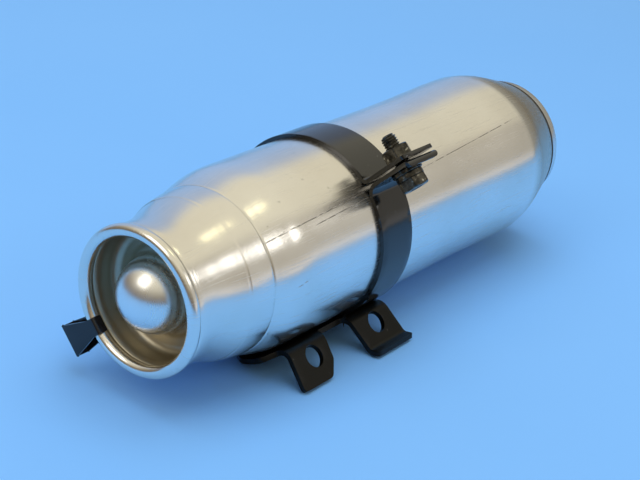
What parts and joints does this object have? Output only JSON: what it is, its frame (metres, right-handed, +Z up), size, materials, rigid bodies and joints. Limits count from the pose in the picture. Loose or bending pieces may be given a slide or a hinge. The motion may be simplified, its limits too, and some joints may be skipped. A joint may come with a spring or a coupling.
{
  "type": "fuel filter",
  "caption": "Cylindrical metal fuel filter canister with a recessed domed end and a ported screw head, held in a clamp band on a welded bracket with outward mounting tabs.",
  "frame": {"origin": "centre of the outlet port's mouth on the head's outer face", "axes": "+X along the canister's axis, from the closed domed end to the ported head; +Z up as the part lies on a bench on its saddle and tabs"},
  "size_m": [0.2441, 0.0799, 0.085],
  "materials": {
    "satin_aluminium": "satin drawn aluminium, lightly scratched",
    "polished_aluminium": "polished spun aluminium",
    "machined_aluminium": "machined aluminium",
    "black_band": "satin black paint on steel strip",
    "black_bracket": "satin black paint on pressed steel",
    "spring_steel_black": "blackened spring steel",
    "black_oxide": "black oxide steel with worn highlights",
    "black_rubber": "black nitrile rubber",
    "inner_steel": "zinc plated steel",
    "bearing_steel": "polished ball",
    "brass": "turned brass",
    "inner_plastic": "natural nylon",
    "filter_paper": "resin-treated filter paper",
    "wrap_mesh": "perforated outer sleeve"
  },
  "bodies": {
    "mount": {"bracket": "black_bracket", "clamp_band": "black_band", "clamp_nut": "black_oxide"},
    "canister": {"canister_shell": "satin_aluminium", "end_dish": "polished_aluminium", "neck_collar": "machined_aluminium", "spring_seat": "inner_steel", "element_spring": "inner_steel"},
    "clip": {"rim_clip": "spring_steel_black"},
    "washers": {"flat_washer": "black_oxide", "spring_washer": "black_oxide"},
    "screw": {"clamp_screw": "black_oxide"},
    "seal": {"head_seal": "black_rubber"},
    "head": {"head": "machined_aluminium", "standpipe": "inner_steel", "inlet_screen": "inner_steel", "valve_seat": "brass", "valve_cage": "inner_plastic", "valve_spring": "inner_steel"},
    "ball": {"valve_ball": "bearing_steel"},
    "element": {"near_end_cap": "inner_steel", "head_end_cap": "inner_steel", "centre_tube": "inner_steel", "pleated_media": "filter_paper", "media_wrap": "wrap_mesh", "grommet": "black_rubber"}
  },
  "joints": [
    {"name": "canister_turn", "type": "hinge", "parent": "mount", "child": "canister", "pos_m": [-0.13895, 0, 0], "axis": [1, 0, 0], "continuous": true},
    {"name": "clip_turn", "type": "hinge", "parent": "canister", "child": "clip", "pos_m": [-0.2393, 0, 0], "axis": [1, 0, 0], "continuous": true},
    {"name": "washer_travel", "type": "slide", "parent": "mount", "child": "washers", "axis": [0, -0.7373, -0.6756], "range_m": [0, 0.01]},
    {"name": "screw_turn", "type": "hinge", "parent": "washers", "child": "screw", "pos_m": [-0.13895, -0.03283, 0.03583], "axis": [0, -0.7373, -0.6756], "range_deg": [0, 3601]},
    {"name": "seal_travel", "type": "slide", "parent": "canister", "child": "seal", "axis": [1, 0, 0], "range_m": [0, 0.0105]},
    {"name": "head_turn", "type": "hinge", "parent": "seal", "child": "head", "pos_m": [0, 0, 0], "axis": [1, 0, 0], "range_deg": [0, 2520]},
    {"name": "valve_lift", "type": "slide", "parent": "head", "child": "ball", "axis": [-1, 0, 0], "range_m": [0, 0.003], "stiffness_N_per_m": 40, "springref_m": -0.002, "deforming": ["valve_spring"]},
    {"name": "element_push", "type": "slide", "parent": "canister", "child": "element", "axis": [-1, 0, 0], "range_m": [0, 0.005], "stiffness_N_per_m": 1200, "springref_m": -0.008, "deforming": ["element_spring"]}
  ],
  "couplings": [
    {"joint": "screw_turn", "follows": "washer_travel", "rad_per_m": 6283.2},
    {"joint": "seal_travel", "follows": "head_turn", "m_per_rad": 0.00023873}
  ]
}
